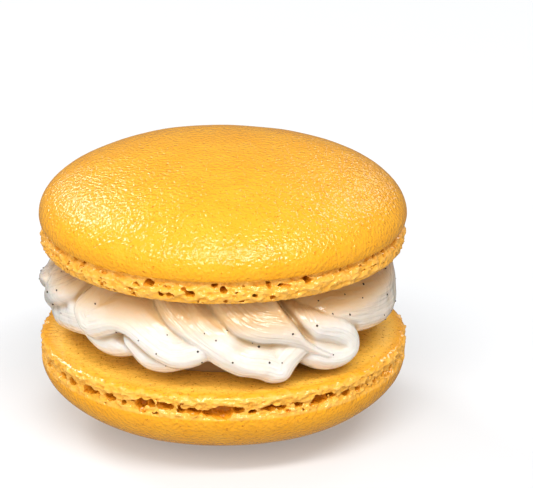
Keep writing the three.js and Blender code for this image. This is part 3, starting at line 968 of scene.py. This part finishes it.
def creamMaterial(group):
    material, tree, shader = startMaterial("vanillaCream")
    patches = grain(tree, group, *creamLook["patchGrain"])
    colour = blendColour(tree, patches, creamLook["warm"], creamLook["milk"])
    # Painted shade: the colour goes tan in the creases, the gaps and under the upper shell
    paintedShade = readAttribute(tree, "paintedShade", *creamLook["paintedShadeFade"])
    colour = blendColour(tree, paintedShade, colour, creamLook["paintedShade"])
    plug(tree, colour, shader.inputs["Base Color"])
    shader.inputs["Roughness"].default_value = creamLook["roughness"]
    shader.inputs["Specular IOR Level"].default_value = creamLook["shine"]
    across = node(tree, "ShaderNodeAttribute", attribute_name="across")
    along = node(tree, "ShaderNodeAttribute", attribute_name="along")
    stretched = node(tree, "ShaderNodeMath", {1: creamLook["threadDrawn"]}, operation="MULTIPLY")
    plug(tree, along.outputs["Fac"], stretched.inputs[0])
    place = node(tree, "ShaderNodeCombineXYZ")
    plug(tree, across.outputs["Fac"], place.inputs["X"])
    plug(tree, stretched.outputs[0], place.inputs["Y"])
    threads = node(tree, "ShaderNodeTexNoise", {"Scale": creamLook["threadScale"], "Detail": 1.0})
    plug(tree, place.outputs["Vector"], threads.inputs["Vector"])
    lines = node(tree, "ShaderNodeMath", operation="MULTIPLY")
    plug(tree, threads.outputs["Fac"], lines.inputs[0])
    plug(tree, readAttribute(tree, "calm", 0, 1), lines.inputs[1])
    dimples = grain(tree, group, *creamLook["dimpleGrain"])
    height = addUp(tree, [(lines.outputs[0], 1.0), (dimples, creamLook["dimple"])])
    bump = node(tree, "ShaderNodeBump", {"Strength": 1.0, "Distance": creamLook["thread"] * mm})
    plug(tree, height, bump.inputs["Height"])
    plug(tree, bump.outputs["Normal"], shader.inputs["Normal"])
    shader.inputs["Subsurface Weight"].default_value = creamLook["glow"]
    shader.inputs["Subsurface Radius"].default_value = creamLook["glowReach"]
    shader.inputs["Subsurface Scale"].default_value = creamLook["glowScale"] * mm
    return material


speckLook = {
    "black": (0.012, 0.006, 0.003),
    "brown": (0.07, 0.03, 0.012),
    "grains": 9000.0,  # per metre
    "roughness": 0.5,
}


def speckMaterial():
    material, tree, shader = startMaterial("vanillaSpeck")
    mask = node(tree, "ShaderNodeTexNoise", {"Scale": speckLook["grains"]})
    place = node(tree, "ShaderNodeTexCoord")
    plug(tree, place.outputs["Object"], mask.inputs["Vector"])
    colour = blendColour(tree, mask.outputs["Fac"], speckLook["black"], speckLook["brown"])
    plug(tree, colour, shader.inputs["Base Color"])
    shader.inputs["Roughness"].default_value = speckLook["roughness"]
    return material


# Floor, light and camera

studio = {
    "room": 0.335,
    "roomInGloss": 0.18,  # dimmer in reflections, so that the rims keep their gold
    "floorSize": 6,  # metres
    # The floor is faintly blue and glows faintly blue-white: painted light that lifts its shadows, cools
    # the orange light the shells throw on it, and lights the lower shell from below
    "floor": (0.50, 0.503, 0.51),
    "floorRoughness": 0.9,
    "floorShine": 0.1,
    "floorGlowColour": (0.95, 0.98, 1),
    "floorGlow": 0.255,
    "distance": 1.0,  # metres from the macaron to each light
    "lights": {  # degrees round from the front, degrees up, width and height in metres, brightness
        "overhead": (14, 59, (1.05, 0.2), 13.2),
        "leftBack": (-134, 38, (0.34, 0.26), 13.0),
        "rightBack": (149, 31, (0.26, 0.22), 5.2),
        "frontFill": (-8, 40, (1.4, 0.7), 2.75),
        "leftFill": (-60, 22, (0.9, 0.6), 1.2),
    },
    "unseenInGloss": ("frontFill", "leftFill"),
}


def buildStudio():
    clearSelection()
    bpy.ops.mesh.primitive_plane_add(size=studio["floorSize"], location=(0, 0, 0))
    floor = bpy.context.object
    floor.name = "Floor"
    material, _, shader = startMaterial("paleFloor")
    shader.inputs["Base Color"].default_value = (*studio["floor"], 1)
    # Painted light: the floor glows, lifting its shadows
    shader.inputs["Emission Color"].default_value = (*studio["floorGlowColour"], 1)
    shader.inputs["Emission Strength"].default_value = studio["floorGlow"]
    shader.inputs["Roughness"].default_value = studio["floorRoughness"]
    shader.inputs["Specular IOR Level"].default_value = studio["floorShine"]
    floor.data.materials.append(material)
    floor.visible_glossy = False

    world = bpy.data.worlds.new("softRoom")
    world.use_nodes = True
    tree = world.node_tree
    tree.nodes["Background"].inputs["Color"].default_value = (1, 1, 1, 1)
    path = node(tree, "ShaderNodeLightPath")
    strength = node(tree, "ShaderNodeMapRange", {"To Min": studio["room"], "To Max": studio["roomInGloss"]})
    plug(tree, path.outputs["Is Glossy Ray"], strength.inputs["Value"])
    plug(tree, strength.outputs["Result"], tree.nodes["Background"].inputs["Strength"])
    bpy.context.scene.world = world
    for name, (azimuth, elevation, size, glow) in studio["lights"].items():
        turn, rise = math.radians(azimuth), math.radians(elevation)
        away = Vector((math.sin(turn) * math.cos(rise), -math.cos(turn) * math.cos(rise), math.sin(rise)))
        clearSelection()
        bpy.ops.object.light_add(type="AREA", location=away * studio["distance"])
        lamp = bpy.context.object
        lamp.name = name
        lamp.data.shape = "RECTANGLE"
        lamp.data.size, lamp.data.size_y = size
        lamp.data.energy = glow * math.pi * size[0] * size[1]
        lamp.rotation_euler = away.to_track_quat("Z", "Y").to_euler()
        lamp.visible_glossy = name not in studio["unseenInGloss"]
    bpy.context.scene.view_settings.view_transform = "Standard"


# Camera: looks down on the macaron, which stands left of and below the middle of the picture
cameraView = {
    "elevation": 20.5,  # degrees
    "distance": 420 * mm,
    "lens": 230,
    "sensor": 36,
    "clip": (10 * mm, 20),
    "height": 17 * mm,  # level on the macaron's axis that the aim is set off from
    "aimRight": 5.34 * mm,
    "aimUp": 4.93 * mm,
}


def placeCamera():
    tilt = math.radians(cameraView["elevation"])
    forward = Vector((0, math.cos(tilt), -math.sin(tilt)))
    upward = Vector((0, math.sin(tilt), math.cos(tilt)))
    aim = Vector((cameraView["aimRight"], 0, cameraView["height"])) + cameraView["aimUp"] * upward
    bpy.ops.object.camera_add(location=aim - forward * cameraView["distance"])
    camera = bpy.context.object
    camera.name = "Camera"
    camera.rotation_euler = forward.to_track_quat("-Z", "Y").to_euler()
    camera.data.lens = cameraView["lens"]
    camera.data.sensor_width = cameraView["sensor"]
    camera.data.clip_start, camera.data.clip_end = cameraView["clip"]
    bpy.context.scene.camera = camera


placeCamera()
buildStudio()
print("camera and light are set")
grainMask = grainGroup()
crust = crustMaterial(grainMask)
buildShell(topForm, topPores, crust)
buildShell(bottomForm, bottomPores, crust)
cream = buildCream(creamMaterial(grainMask))
buildSpecks(cream, speckMaterial())
print("pieces are made")
